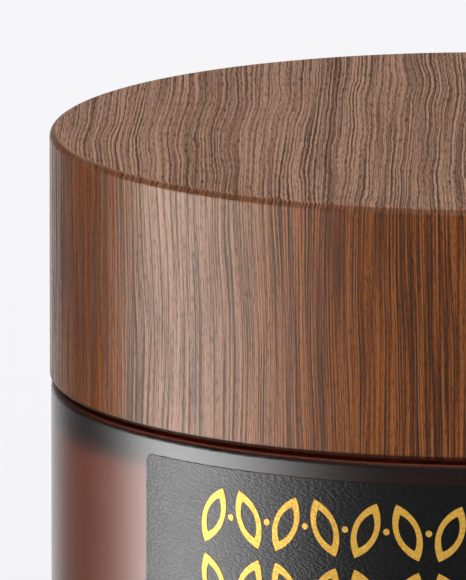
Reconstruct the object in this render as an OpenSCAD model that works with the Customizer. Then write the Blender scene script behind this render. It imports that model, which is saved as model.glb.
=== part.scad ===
// Round glass jar with a wooden screw cap, empty, with its label and seals.
// The jar stands on z = 0 with its axis along Z, and the label faces -Y.

/* [Cap] */
// Outside diameter of the wooden cap, the widest piece
cap_d = 74; // [66:1:90]
// Height of the wooden cap
cap_h = 20.8; // [19:0.2:26]
// Rounding of the cap's top edge
cap_edge_r = 0.6; // [0.4:0.1:2]
// Bevel on the cap's bottom edges
cap_bevel = 0.3; // [0.1:0.1:0.6]
// Thickness of the wood round the insert
cap_wall = 3.8; // [3:0.1:4.5]
// Gap between the closed cap and the jar's shoulder
cap_gap = 0.35; // [0.3:0.05:1]

/* [Glass jar] */
// Height of the body, from the base to the flat of the shoulder
body_h = 42.3; // [32:0.1:70]
// How far the glass stands inside the cap's outline, on the radius
glass_step = 0.1; // [0:0.05:0.6]
// Thickness of the side wall
wall_t = 4.1; // [3:0.1:5]
// Thickness of the floor
floor_t = 6.5; // [5:0.5:9]
// Thickness of the shoulder between the side and the neck
shoulder_t = 2.1; // [2:0.1:4]
// Rounding of the shoulder's outer edge
shoulder_r = 0.5; // [0.4:0.1:2]
// Rounding of the heel, where the side meets the base
heel_r = 4; // [2:0.5:5]
// Rounding of the cavity where it meets the floor
cavity_floor_r = 6; // [3:0.5:8]
// Rounding of the cavity under the shoulder
cavity_shoulder_r = 2; // [1:0.5:4]
// Depth of the hollow under the base
punt_h = 0.8; // [0.4:0.1:1.5]
// Height of the neck above the shoulder
neck_h = 11.2; // [11:0.1:12]
// Wall thickness of the neck
neck_wall = 3.45; // [2.8:0.05:4]

/* [Thread] */
// Rise of the thread in one full turn
thread_lead = 12; // [12:0.5:13.5]
// Number of thread starts
thread_starts = 3; // [3:1:3]
// Angle that each start runs for
thread_arc = 138; // [110:2:138]

/* [Seals and insert] */
// Wall thickness of the plastic insert
insert_wall = 1.3; // [1:0.1:1.5]
// Thickness of the insert's top panel
insert_top = 1.4; // [1:0.1:1.6]
// Number of ribs that stop the insert from turning in the wood
rib_count = 24; // [12:2:36]
// Thickness of the foam liner
liner_t = 1.2; // [0.8:0.1:1.4]
// Thickness of the sealing disc's flange
seal_t = 0.9; // [0.7:0.1:1]
// Depth of the sealing disc's dish, below the rim
seal_depth = 2; // [1.5:0.1:3]

/* [Label] */
// Height of the label
label_h = 34; // [20:1:34]
// Height of the label's lower edge
label_z = 6.6; // [5.5:0.1:6.8]
// Half of the angle that the label covers
label_half = 50.4; // [30:0.2:80]
// Thickness of the label
label_t = 0.1; // [0.08:0.02:0.3]
// Rounding of the label's corners
label_corner_r = 0.6; // [0.3:0.1:3]
// Thickness of the foil ornament
foil_t = 0.04; // [0.02:0.02:0.1]
// Width of the foil's lines
foil_line = 0.45; // [0.3:0.05:0.6]
// Height of one leaf of the ornament
leaf_h = 5; // [4:0.5:6]
// Width of one leaf
leaf_w = 2.2; // [1.6:0.1:2.4]
// Leaves in one row of the ornament
leaf_count = 15; // [7:2:15]

/* [Hidden] */
$fa = 3;
$fs = 0.4;
// How far a cutting shape runs past the surface it cuts
slack = 0.3;

// Radii, from the outside in
cap_r = cap_d / 2;
glass_r = cap_r - glass_step;
pocket_r = cap_r - cap_wall;
rib_r = pocket_r - 0.05;
insert_r = pocket_r - 0.4;
skirt_r = insert_r - insert_wall;
neck_r = skirt_r - 1.75;
neck_thread_r = skirt_r - 0.3;
cap_thread_r = neck_r + 0.35;
cavity_r = glass_r - wall_t;
mouth_r = neck_r - neck_wall;

// Heights, from the shoulder up
cap_z = body_h + cap_gap;
skirt_z = cap_z + 0.6;
rim_z = body_h + neck_h;
liner_z = rim_z + seal_t;
panel_z = liner_z + liner_t;
pocket_z = panel_z + insert_top;
cap_top = cap_z + cap_h;
cavity_top = body_h - shoulder_t;

// Thread: the middle of a neck ridge at its lower end, and the drop from it to the
// cap's ridge, which leaves 0.2 between the flanks of the closed cap
neck_thread_z = rim_z - 2.5 - thread_lead * thread_arc / 360;
cap_thread_drop = 1.6;
thread_embed = 0.4;
thread_steps = 24;

// Label
label_r = glass_r + label_t;
foil_r = label_r + foil_t;
foil_half = label_half - 9.5;
row_pitch = leaf_h + 0.6;
top_row_z = label_z + label_h - 1.5 - leaf_h / 2;

// ---- shared shapes ----

// What a rounding of radius r takes off the corner at (x, y), for material on the
// side of the corner that sx and sy point to. With over, the arc is a little wider and
// crosses the sides instead of touching them.
module corner_off(x, y, sx, sy, r, over = 0) {
    translate([x + sx * r, y + sy * r])
        difference() {
            translate([sx > 0 ? -r - slack : 0, sy > 0 ? -r - slack : 0])
                square(r + slack);
            circle(r + over);
        }
}

// A box in the profile plane, given by its corners
module span(x0, y0, x1, y1) {
    translate([x0, y0]) square([x1 - x0, y1 - y0]);
}

// Outline of a ridge as [share of its height, share of its width] from edge to edge
RIDGE = [[0, -0.5], [0.72, -0.36], [1, -0.18], [1, 0.18], [0.72, 0.36], [0, 0.5]];

// One helical ridge from radius r0 to r1, w wide, that sinks into its wall at both ends
module ridge(r0, r1, w) {
    n = len(RIDGE);
    points = [
        for (i = [0 : thread_steps])
            let (share = i / thread_steps,
                 turn = thread_arc * share,
                 rise = thread_lead * turn / 360,
                 tall = max(0.12, min(1, share * 7, (1 - share) * 7)))
            for (p = RIDGE)
                let (r = r0 + (r1 - r0) * p[0] * tall)
                [r * cos(turn), r * sin(turn), rise + w * p[1]]
    ];
    sides = [
        for (i = [0 : thread_steps - 1], k = [0 : n - 1])
            let (a = i * n + k, b = i * n + (k + 1) % n)
            each [[a, b, b + n], [a, b + n, a + n]]
    ];
    last = thread_steps * n;
    ends = [
        for (k = [1 : n - 2])
            each [[0, k + 1, k], [last, last + k, last + k + 1]]
    ];
    faces = concat(sides, ends);
    // A ridge that points inward has its faces the other way round
    polyhedron(points, r1 > r0 ? faces : [for (f = faces) [f[2], f[1], f[0]]]);
}

// All starts of a thread, with the middle of the ridges' lower ends at height z
module thread(r0, r1, w, z) {
    for (k = [0 : thread_starts - 1])
        rotate([0, 0, k * 360 / thread_starts])
            translate([0, 0, z])
                ridge(r0, r1, w);
}

// ---- glass ----

module jar_outline() {
    difference() {
        span(0, 0, glass_r, body_h);
        corner_off(glass_r, 0, -1, 1, heel_r);
        corner_off(glass_r, body_h, -1, -1, shoulder_r);
    }
    difference() {
        span(0, body_h - 1, neck_r, rim_z);
        corner_off(neck_r, rim_z, -1, -1, 1);
    }
    // Fillet between the neck and the shoulder
    corner_off(neck_r, body_h, 1, 1, 0.9);
}

module jar_hollow() {
    difference() {
        span(0, floor_t, cavity_r, cavity_top);
        corner_off(cavity_r, floor_t, -1, 1, cavity_floor_r);
        corner_off(cavity_r, cavity_top, -1, -1, cavity_shoulder_r);
    }
    span(0, cavity_top - 1, mouth_r, rim_z + slack);
    // Rounded lips at both ends of the mouth
    corner_off(mouth_r, cavity_top, 1, 1, 1);
    corner_off(mouth_r, rim_z, 1, -1, 0.8);
}

module glass_jar() {
    color("saddlebrown") {
        difference() {
            rotate_extrude() jar_outline();
            rotate_extrude() jar_hollow();
            translate([0, 0, -slack])
                cylinder(h = punt_h + slack, r1 = glass_r - heel_r - 3, r2 = glass_r - heel_r - 4);
        }
        thread(neck_r - thread_embed, neck_thread_r, 1.7, neck_thread_z);
    }
}

// ---- label ----

// A piece of tube between two radii, centred on -Y
module tube_piece(r0, r1, z0, z1, half) {
    rotate([0, 0, -90 - half])
        rotate_extrude(angle = 2 * half)
            span(r0, z0, r1, z1);
}

// Puts a flat outline on the front of the jar: x runs round it and y runs up it
module on_side(angle, z) {
    rotate([0, 0, angle])
        translate([0, -glass_r + 2, z])
            rotate([90, 0, 0])
                linear_extrude(height = 4)
                    children();
}

module front_label() {
    top = label_z + label_h;
    color("dimgray")
        difference() {
            tube_piece(glass_r, label_r, label_z, top, label_half);
            for (side = [-1, 1])
                on_side(side * label_half, 0) {
                    corner_off(0, label_z, -side, 1, label_corner_r, label_corner_r / 50);
                    corner_off(0, top, -side, -1, label_corner_r, label_corner_r / 50);
                }
        }
}

// A pointed leaf, standing up, where two arcs of equal radius cross
module leaf(h, w) {
    r = (h * h + w * w) / (4 * w);
    intersection() {
        translate([r - w / 2, 0]) circle(r);
        translate([w / 2 - r, 0]) circle(r);
    }
}

// The outline of a leaf, one line wide
module leaf_line(h, w) {
    difference() {
        leaf(h, w);
        leaf(h - foil_line * 4, w - foil_line * 2);
    }
}

// A row of leaves that lean to and fro, with a dot between each pair
module leaf_row(z, lean) {
    step = 2 * foil_half / leaf_count;
    for (i = [0 : leaf_count - 1])
        on_side((i + 0.5) * step - foil_half, z)
            rotate(i % 2 == 0 ? lean : -lean)
                leaf_line(leaf_h, leaf_w);
    for (i = [1 : leaf_count - 1])
        on_side(i * step - foil_half, z)
            circle(foil_line * 0.6);
}

module label_foil() {
    color("gold") {
        intersection() {
            tube_piece(label_r, foil_r, label_z, label_z + label_h, label_half);
            union() {
                leaf_row(top_row_z, -22);
                leaf_row(top_row_z - row_pitch, 22);
            }
        }
        // Plain rules under the two rows of leaves
        for (i = [0 : 2]) {
            rule_z = top_row_z - row_pitch - leaf_h - 3 * i;
            tube_piece(label_r, foil_r, rule_z, rule_z + foil_line, 24 - 6 * i);
        }
    }
}

// ---- seals and cap ----

module seal_disc() {
    floor_z = rim_z - seal_depth;
    dish_r = mouth_r - 0.4;
    color("whitesmoke") {
        rotate_extrude() {
            difference() {
                union() {
                    span(0, floor_z, dish_r, rim_z + seal_t);
                    span(0, rim_z, neck_r - 0.75, rim_z + seal_t);
                }
                span(-1, floor_z + 1, dish_r - 1.1, rim_z + 2);
                corner_off(dish_r, floor_z, -1, 1, 0.6);
                corner_off(neck_r - 0.75, rim_z + seal_t, -1, -1, 0.3);
            }
        }
        // Finger tab across the dish, with a rounded top at both ends
        translate([0, 0.5, floor_z + 0.5])
            rotate([90, 0, 0])
                linear_extrude(height = 1) {
                    difference() {
                        span(-7, 0, 7, seal_depth);
                        corner_off(-7, seal_depth, 1, -1, 1.2);
                        corner_off(7, seal_depth, -1, -1, 1.2);
                    }
                }
    }
}

module cap_liner() {
    color("white")
        translate([0, 0, liner_z])
            cylinder(h = liner_t, r = neck_r + 0.15);
}

module cap_insert() {
    color("ivory") {
        rotate_extrude() {
            difference() {
                span(0, skirt_z, insert_r, pocket_z);
                span(-1, skirt_z - 1, skirt_r, panel_z);
                corner_off(insert_r, pocket_z, -1, -1, 0.8);
                corner_off(skirt_r, skirt_z, 1, 1, 0.4);
            }
        }
        thread(skirt_r + thread_embed, cap_thread_r, 1.8, neck_thread_z - cap_thread_drop);
        for (i = [0 : rib_count - 1])
            rotate([0, 0, i * 360 / rib_count])
                translate([insert_r - 0.2, -0.4, skirt_z + 0.8])
                    cube([rib_r - insert_r + 0.2, 0.8, pocket_z - skirt_z - 2]);
    }
}

module cap_shell() {
    color("sienna")
        rotate_extrude()
            difference() {
                span(0, cap_z, cap_r, cap_top);
                span(-1, cap_z - 1, pocket_r, pocket_z);
                corner_off(cap_r, cap_top, -1, -1, cap_edge_r);
                translate([cap_r, cap_z]) rotate(45) square(cap_bevel * sqrt(2), center = true);
                translate([pocket_r, cap_z]) rotate(45) square(cap_bevel * sqrt(2), center = true);
            }
}

glass_jar();
front_label();
label_foil();
seal_disc();
cap_liner();
cap_insert();
cap_shell();
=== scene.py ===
import math

import bpy
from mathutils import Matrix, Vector


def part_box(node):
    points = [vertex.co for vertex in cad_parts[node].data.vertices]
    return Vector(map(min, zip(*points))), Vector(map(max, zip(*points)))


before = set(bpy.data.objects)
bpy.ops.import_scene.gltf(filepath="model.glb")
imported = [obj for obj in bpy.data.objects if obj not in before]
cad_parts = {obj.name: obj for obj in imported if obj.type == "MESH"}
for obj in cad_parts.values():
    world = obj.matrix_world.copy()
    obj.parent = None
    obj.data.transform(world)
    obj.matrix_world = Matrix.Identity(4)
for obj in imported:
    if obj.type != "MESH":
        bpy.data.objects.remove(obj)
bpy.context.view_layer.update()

MM = 0.001
CAP_LOW, CAP_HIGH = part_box("cap_shell")
CAP_R = CAP_HIGH[0]
CAP_Z = CAP_LOW[2]
CAP_TOP = CAP_HIGH[2]
CAP_GAP = 0.35 * MM
SHOULDER_Z = CAP_Z - CAP_GAP
GLASS_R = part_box("glass_jar")[1][0]

# What the camera sees where there is nothing, which is the floor's colour too
BACKDROP = (0.92, 0.92, 0.94)


# ---- node graphs ----

class Graph:
    """A node tree that is built with short calls. A number or colour may stand for any socket."""

    def __init__(self, tree):
        self.tree = tree
        self.tree.nodes.clear()

    def node(self, kind, inputs=None, **settings):
        made = self.tree.nodes.new(kind)
        for name, value in settings.items():
            setattr(made, name, value)
        for name, value in (inputs or {}).items():
            self.feed(made.inputs[name], value)
        return made

    def feed(self, socket, value):
        if isinstance(value, bpy.types.NodeSocket):
            self.tree.links.new(value, socket)
        elif isinstance(value, tuple) and len(value) == 3 and socket.type == "RGBA":
            socket.default_value = (*value, 1.0)
        else:
            socket.default_value = value

    def math(self, operation, a, b=0.0):
        return self.node("ShaderNodeMath", {0: a, 1: b}, operation=operation).outputs[0]

    def add(self, a, b):
        return self.math("ADD", a, b)

    def less(self, a, b):
        return self.math("SUBTRACT", a, b)

    def times(self, a, b):
        return self.math("MULTIPLY", a, b)

    def step(self, value, low, high, to_low=0.0, to_high=1.0):
        """A smooth step from to_low to to_high as value goes from low to high."""
        made = self.node(
            "ShaderNodeMapRange",
            {
                "Value": value,
                "From Min": low, "From Max": high,
                "To Min": to_low, "To Max": to_high,
            },
            interpolation_type="SMOOTHSTEP",
        )
        return made.outputs["Result"]

    def band(self, value, low, high, soft):
        """1 between low and high, with soft edges."""
        risen = self.step(value, low - soft, low + soft)
        return self.times(risen, self.step(value, high - soft, high + soft, 1.0, 0.0))

    def vector(self, x, y, z=0.0):
        return self.node("ShaderNodeCombineXYZ", {"X": x, "Y": y, "Z": z}).outputs[0]

    def noise(self, vector, scale=1.0, detail=2.0, rough=0.5):
        made = self.node(
            "ShaderNodeTexNoise",
            {"Vector": vector, "Scale": scale, "Detail": detail, "Roughness": rough},
            noise_dimensions="3D",
        )
        return made.outputs["Fac"]

    def mix(self, share, a, b, blend="MIX"):
        """Colour a where share is 0, colour b where it is 1."""
        made = self.node("ShaderNodeMix", data_type="RGBA", blend_type=blend)
        self.feed(made.inputs[0], share)
        self.feed(made.inputs[6], a)
        self.feed(made.inputs[7], b)
        return made.outputs[2]

    def ramp(self, value, stops):
        """A colour for each place along value: stops are (place, colour)."""
        made = self.node("ShaderNodeValToRGB", {"Fac": value})
        for extra in stops[2:]:
            made.color_ramp.elements.new(extra[0])
        for element, (place, colour) in zip(made.color_ramp.elements, stops):
            element.position = place
            element.color = (*colour, 1.0)
        return made.outputs["Color"]

    def place(self):
        """x, y and z of a point on the piece, in the CAD frame, in millimetres."""
        point = self.node("ShaderNodeTexCoord").outputs["Object"]
        split = self.node("ShaderNodeSeparateXYZ", {0: point})
        return [self.times(split.outputs[i], 1.0 / MM) for i in range(3)]

    def around(self, x, y):
        """The angle round the z axis in radians, from 0 at the front, which faces -y."""
        return self.math("ARCTAN2", x, self.times(y, -1.0))

    def bump(self, height, distance, strength):
        inputs = {"Height": height, "Distance": distance, "Strength": strength}
        return self.node("ShaderNodeBump", inputs).outputs[0]


def material(name, build, **sockets):
    """A Principled material: its plain sockets are given, and build returns its patterned ones."""
    made = bpy.data.materials.new(name)
    made.use_nodes = True
    g = Graph(made.node_tree)
    shader = g.node("ShaderNodeBsdfPrincipled")
    out = g.node("ShaderNodeOutputMaterial")
    g.feed(out.inputs["Surface"], shader.outputs[0])
    for socket, value in {**sockets, **build(g)}.items():
        target = out if socket in ("Volume", "Displacement") else shader
        g.feed(target.inputs[socket.replace("_", " ")], value)
    return made


# ---- materials ----

WALNUT = [
    (0.00, (0.300, 0.098, 0.024)),
    (0.32, (0.200, 0.055, 0.012)),
    (0.66, (0.110, 0.026, 0.004)),
    (1.00, (0.045, 0.011, 0.002)),
]
# What the top's painted light multiplies the walnut by: it makes the flat top paler and greyer, as
# if lit from above
TOP_PAINTED_LIGHT = (1.90, 3.20, 8.3)
# The colour that the rounded edge between top and side is darkened towards
DARK_EDGE_COLOUR = (0.098, 0.021, 0.002)
# Painted shade along the cap's lower edge, which faces down onto the glass
UNDERSIDE_PAINTED_SHADE = (0.030, 0.006, 0.003)
SATIN = 0.34


def wood(g):
    """Stained walnut. Every length is in millimetres."""
    x, y, z = g.place()
    radius, foot, crown = CAP_R / MM, CAP_Z / MM, CAP_TOP / MM
    # The grain runs front to back over the top and straight down the side, and both are painted
    # from one measure across it, so the lines cross the edge unbroken. To follow_to on either
    # hand the side takes the top's lines, and from there on it is wrapped round.
    follow_to = math.radians(50.0)
    angle = g.around(x, y)
    inner = g.math("MINIMUM", g.math("MAXIMUM", angle, -follow_to), follow_to)
    outer = g.times(g.less(angle, inner), math.cos(follow_to))
    wrapped = g.times(g.add(g.math("SINE", inner), outer), radius)
    off_axis = g.math("SQRT", g.add(g.times(x, x), g.times(y, y)))
    side = g.step(off_axis, radius - 0.55, radius - 0.2)
    straight = g.add(x, g.times(side, g.less(wrapped, x)))
    along = g.add(y, z)
    top = g.step(z, crown - 0.6, crown - 0.05)
    drawn = g.add(z, g.times(y, 0.3))

    def sway(share_across, share_along, seed, reach):
        """How far the lines wander to the side, up to about half of reach each way."""
        place = g.vector(g.times(straight, share_across), g.times(along, share_along), seed)
        return g.times(g.add(g.noise(place, detail=1.0), -0.5), reach)

    across = g.add(straight, sway(0.09, 0.028, 3.1, 2.2))
    across = g.add(across, sway(0.5, 0.08, 7.7, 0.5))
    shiver = g.times(sway(3.0, 0.9, 1.3, 0.09), g.add(g.times(top, 1.4), 0.5))
    across = g.add(across, shiver)

    def streaks(pitch, stretch, seed, detail=1.0, rough=0.5):
        """A noise drawn out along the grain: pitch in millimetres, stretch per millimetre."""
        place = g.vector(g.times(across, 1.0 / pitch), g.times(drawn, stretch), seed)
        return g.noise(place, detail=detail, rough=rough)

    def lines(pitch, width, stretch, seed):
        """Dark lines where a noise across the grain crosses its middle."""
        off = g.math("ABSOLUTE", g.add(streaks(pitch, stretch, seed), -0.5))
        return g.step(off, 0.0, width, 1.0, 0.0)

    strong = g.step(streaks(2.2, 0.012, 61.0), 0.36, 0.60, 0.15, 1.0)
    rings = g.times(lines(0.62, 0.028, 0.006, 11.0), strong)
    fine = lines(0.26, 0.10, 0.02, 23.0)
    # Evenly spaced lines, which stand out in some stretches of the wood and fade in others
    spacing = 0.34
    spaced = g.add(across, g.times(streaks(1.1, 0.03, 83.0), 0.7))
    wave = g.math("SINE", g.times(spaced, 2.0 * math.pi / spacing))
    strength = g.step(streaks(5.0, 0.015, 97.0), 0.40, 0.60, 0.15, 1.25)
    even = g.add(g.times(g.step(wave, -1.0, 1.0, -0.5, 0.5), strength), 0.5)
    fibre = g.step(streaks(0.15, 0.06, 5.0, detail=3.0, rough=0.65), 0.38, 0.64)
    flecks = g.step(streaks(0.11, 0.045, 9.0), 0.42, 0.58)
    pores = g.step(streaks(0.090, 1.4, 29.0), 0.50, 0.64)
    wide = g.step(streaks(0.60, 0.010, 71.0), 0.30, 0.70)
    zone = g.step(streaks(4.0, 0.006, 53.0, detail=2.0), 0.35, 0.65)
    glow = g.step(streaks(2.5, 0.010, 47.0, detail=2.0), 0.54, 0.66)

    def weight(on_side, on_top):
        return g.step(top, 0.0, 1.0, on_side, on_top)

    # Depth is 0 in the palest wood and 1 in the darkest: a sum of the layers, each with one
    # weight on the side and one on the top, spread about its middle
    depth = g.times(fibre, weight(0.36, 0.32))
    for layer, on_side, on_top in (
        (flecks, 0.46, 0.34),
        (pores, 0.28, 0.28),
        (fine, 0.38, 0.26),
        (even, 0.08, 0.32),
        (wide, 0.12, 0.05),
        (zone, 0.07, 0.09),
        (glow, -0.10, -0.08),
        (rings, 0.26, 0.06),
    ):
        depth = g.add(depth, g.times(layer, weight(on_side, on_top)))
    middle = 0.72
    depth = g.add(g.times(g.add(depth, -middle), weight(1.35, 1.30)), weight(0.47, 0.445))
    stained = g.ramp(depth, WALNUT)
    # The flat top is painted paler and greyer than the turned side, painted light that stands for
    # the light it catches from above, and the edge between them is dark
    colour = g.mix(top, stained, g.mix(1.0, stained, TOP_PAINTED_LIGHT, "MULTIPLY"))
    corner = g.less(radius + crown, g.add(off_axis, z))
    edge = g.step(corner, 0.28, 0.52, 1.0, 0.0)
    edge = g.times(edge, g.step(off_axis, radius - 0.6, radius - 0.35))
    colour = g.mix(edge, colour, g.mix(0.85, colour, DARK_EDGE_COLOUR))
    # The lower edge is painted dark too: painted shade, where it faces down onto the glass and
    # light hardly reaches it
    painted_shade_foot = g.step(z, foot + 0.25, foot + 0.50, 0.8, 0.0)
    colour = g.mix(painted_shade_foot, colour, UNDERSIDE_PAINTED_SHADE)
    # Dark grain is rougher than pale, and both edges have one satin finish
    rough = g.step(depth, 0.50, 0.95, 0.22, 0.46)
    rough = g.add(rough, g.times(g.math("MAXIMUM", edge, painted_shade_foot), g.less(SATIN, rough)))
    return {
        "Base_Color": colour,
        "Roughness": rough,
        "Normal": g.bump(g.times(depth, -1.0), 0.03 * MM, 0.25),
    }


AMBER = {"Color": (0.785, 0.345, 0.105), "Density": 290.0}
CLEAR_GLASS = (1.0, 0.98, 0.97)
HAZY_GLASS = (0.98, 0.96, 0.95)
# Painted shade for the shoulder ring under the cap, and for its ledge painted shade with the cap's
# red reflection
SHOULDER_PAINTED_SHADE = (0.34, 0.32, 0.30)
LEDGE_PAINTED_SHADE = (0.26, 0.08, 0.05)


def frosted(g):
    """Amber glass that is tinted all through and frosted outside, with painted shade on the
    shoulder under the cap.
    """
    x, y, z = g.place()
    haze = g.noise(g.vector(x, y, z), scale=0.25)
    # Painted shade: the ring of the shoulder under the cap is painted dark, and the flat ledge on
    # top of it darker and red, for the shade in the gap and the wooden cap's reflection in it
    shoulder = SHOULDER_Z / MM
    shaded_ring = g.step(z, shoulder - 3.4, shoulder - 1.3)
    shaded_ledge = g.step(z, shoulder - 0.06, shoulder - 0.01)
    neck = g.step(z, shoulder + 0.4, shoulder + 1.0)
    colour = g.mix(shaded_ring, g.mix(haze, HAZY_GLASS, CLEAR_GLASS), SHOULDER_PAINTED_SHADE)
    colour = g.mix(shaded_ledge, colour, LEDGE_PAINTED_SHADE)
    colour = g.mix(neck, colour, CLEAR_GLASS)
    return {
        "Base_Color": colour,
        "Roughness": g.step(haze, 0.3, 0.7, 0.31, 0.335),
        "Volume": g.node("ShaderNodeVolumeAbsorption", AMBER).outputs[0],
    }


def leather(g):
    """The height of a fine pebbled grain, which the foil takes from the label under it."""
    x, y, z = g.place()
    along = g.times(g.around(x, y), GLASS_R / MM)
    waver = g.times(g.noise(g.vector(along, z), scale=0.4, detail=1.0), 0.9)
    rise = g.add(z, g.add(g.times(along, 0.10), waver))
    pebbles = g.noise(g.vector(g.times(along, 2.7), g.times(rise, 5.0)))
    return g.step(pebbles, 0.32, 0.66)


def grained(low, high, rough, strength):
    """The label's grain in two colours: low and high are those of its hollows and its tops."""
    def build(g):
        height = leather(g)
        return {
            "Base_Color": g.mix(height, low, high),
            "Roughness": g.step(height, 0.0, 1.0, rough, 0.29),
            "Normal": g.bump(height, 0.05 * MM, strength),
        }
    return build


def moulded(colour, dark):
    """Satin plastic, a little darker where it flowed."""
    def build(g):
        x, y, z = g.place()
        grain = g.noise(g.vector(x, y, z), scale=4.0, detail=3.0)
        flow = g.noise(g.vector(x, y, z), scale=0.12)
        return {
            "Base_Color": g.mix(g.step(flow, 0.3, 0.7), dark, colour),
            "Roughness": g.step(grain, 0.3, 0.7, 0.38, 0.50),
            "Normal": g.bump(grain, 0.02 * MM, 0.4),
        }
    return build


def foam(g):
    """White foam with round cells."""
    x, y, z = g.place()
    cells = g.node("ShaderNodeTexVoronoi", {"Vector": g.vector(x, y, z), "Scale": 2.6})
    height = g.step(cells.outputs["Distance"], 0.0, 0.6)
    return {
        "Base_Color": g.mix(height, (0.78, 0.78, 0.77), (0.88, 0.88, 0.87)),
        "Roughness": g.step(height, 0.0, 1.0, 0.75, 0.6),
        "Normal": g.bump(height, 0.08 * MM, 0.5),
    }


BLACK_PAPER = grained((0.0006, 0.0006, 0.0007), (0.0068, 0.0068, 0.0070), 0.33, 0.30)
GOLD_FOIL = grained((0.84, 0.42, 0.050), (0.98, 0.60, 0.105), 0.36, 0.25)

WHITE_PLASTIC = moulded((0.84, 0.85, 0.84), (0.78, 0.79, 0.78))
IVORY_PLASTIC = moulded((0.78, 0.76, 0.70), (0.72, 0.70, 0.64))

LOOKS = {
    "cap_shell": material(
        "walnut", wood, Specular_IOR_Level=0.66, Specular_Tint=(1.0, 0.89, 0.77),
    ),
    "glass_jar": material(
        "amber_glass", frosted,
        IOR=1.5, Transmission_Weight=1.0, Coat_Weight=1.0, Coat_Roughness=0.32,
    ),
    "front_label": material("black_paper", BLACK_PAPER, Specular_IOR_Level=0.68),
    "label_foil": material("gold_foil", GOLD_FOIL, Metallic=0.38),
    "seal_disc": material("white_plastic", WHITE_PLASTIC),
    "cap_liner": material("white_foam", foam),
    "cap_insert": material("ivory_plastic", IVORY_PLASTIC),
}
for node, look in LOOKS.items():
    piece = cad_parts[node]
    for slot in piece.material_slots:
        slot.material = look


# ---- stage ----

FLOOR_SIDE = 4.0
LEFT_BOX, RIGHT_BOX = 5.8, 2.6


def floor():
    bpy.ops.mesh.primitive_plane_add(size=FLOOR_SIDE, location=(0, 0, 0))
    made = bpy.context.object
    made.name = "floor"
    look = bpy.data.materials.new("floor")
    look.use_nodes = True
    g = Graph(look.node_tree)
    paint = g.node("ShaderNodeBsdfDiffuse", {"Color": BACKDROP})
    g.feed(g.node("ShaderNodeOutputMaterial").inputs["Surface"], paint.outputs[0])
    made.data.materials.append(look)
    made.visible_glossy = False


def studio():
    """Light from all round: one even level for soft shading, and soft boxes for the gloss.

    The pattern is drawn over two angles in degrees: round_angle from the front, and rise.
    """
    world = bpy.data.worlds.new("studio")
    world.use_nodes = True
    bpy.context.scene.world = world
    world.cycles.sampling_method = "NONE"
    g = Graph(world.node_tree)
    way = g.node("ShaderNodeSeparateXYZ", {0: g.node("ShaderNodeTexCoord").outputs["Generated"]})
    x, y, z = way.outputs
    degrees = 180.0 / math.pi
    round_angle = g.times(g.around(x, y), degrees)
    rise = g.times(g.math("ARCSINE", z), degrees)

    # A soft box on either side, brighter on the left, whose edge towards the front fades out
    # slowly
    side = g.math("ABSOLUTE", round_angle)
    box = g.times(g.step(side, 41.0, 81.0), g.step(side, 97.0, 113.5, 1.0, 0.0))
    box = g.times(box, g.band(rise, -32.0, 2.0, 7.0))
    boxes = g.times(box, g.step(round_angle, -1.0, 1.0, LEFT_BOX, RIGHT_BOX))
    # A pale wall low down behind, and a faint glow overhead and in front
    behind = g.step(side, 138.0, 176.0)
    behind = g.times(behind, g.step(rise, -15.0, 12.0, 1.15, 0.07))
    overhead = g.step(rise, 20.0, 55.0, 0.0, 0.15)
    front = g.step(side, 30.0, 75.0, 0.11, 0.01)
    level = g.add(g.add(boxes, g.add(behind, overhead)), front)
    gloss = g.node("ShaderNodeCombineColor", {0: level, 1: level, 2: level}).outputs[0]

    path = g.node("ShaderNodeLightPath")
    seen = g.mix(path.outputs["Is Glossy Ray"], (1.0, 1.0, 1.0), gloss)
    seen = g.mix(path.outputs["Is Camera Ray"], seen, BACKDROP)
    back = g.node("ShaderNodeBackground", {"Color": seen, "Strength": 1.0})
    g.feed(g.node("ShaderNodeOutputWorld").inputs["Surface"], back.outputs[0])


# The photograph's view: from straight in front and above, with a very long lens, turned a little
# to the left so that the jar runs out of the picture on the right
EYE_DISTANCE = 40.0 * CAP_R
EYE_RISE = math.radians(11.09)
GAZE_TURN = math.radians(-0.858)
GAZE_DIP = math.radians(10.819)
SENSOR_HEIGHT = 36.0
LENS = 1102.67
CLIP_END = 50.0


def camera():
    eye = Vector((
        0.0,
        -EYE_DISTANCE * math.cos(EYE_RISE),
        CAP_Z + EYE_DISTANCE * math.sin(EYE_RISE),
    ))
    gaze = Vector((
        math.sin(GAZE_TURN) * math.cos(GAZE_DIP),
        math.cos(GAZE_TURN) * math.cos(GAZE_DIP),
        -math.sin(GAZE_DIP),
    ))
    data = bpy.data.cameras.new("camera")
    data.sensor_fit = "VERTICAL"
    data.sensor_height = SENSOR_HEIGHT
    data.lens = LENS
    data.clip_end = CLIP_END
    made = bpy.data.objects.new("camera", data)
    made.location = eye
    made.rotation_euler = gaze.to_track_quat("-Z", "Y").to_euler()
    bpy.context.collection.objects.link(made)
    bpy.context.scene.camera = made


camera()
floor()
studio()
bpy.context.scene.view_settings.view_transform = "Standard"
